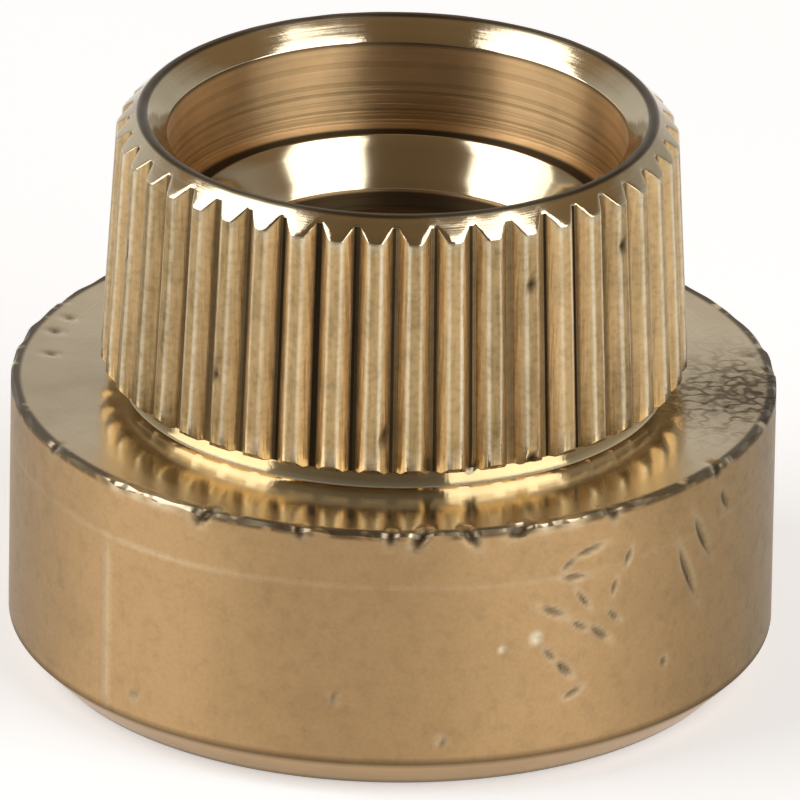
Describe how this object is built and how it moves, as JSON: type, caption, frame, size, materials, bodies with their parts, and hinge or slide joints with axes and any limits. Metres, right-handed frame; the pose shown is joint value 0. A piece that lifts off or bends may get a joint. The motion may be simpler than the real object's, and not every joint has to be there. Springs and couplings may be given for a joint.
{
  "type": "knurled nut",
  "caption": "Round brass nut with a plain threaded collar, a tapered straight-knurled neck for gripping, a chamfered rim and a stepped hole right through, with a conical seat inside.",
  "frame": {"origin": "on the axis, at the foot of the collar", "axes": "+Z along the axis, from the collar up to the knurled neck; the nut is round, so +X and +Y are free"},
  "size_m": [0.03, 0.03, 0.0225],
  "materials": {
    "brass": "satin turned brass with bright turning marks and small dents"
  },
  "bodies": {
    "root": {"nut": "brass"}
  },
  "joints": []
}
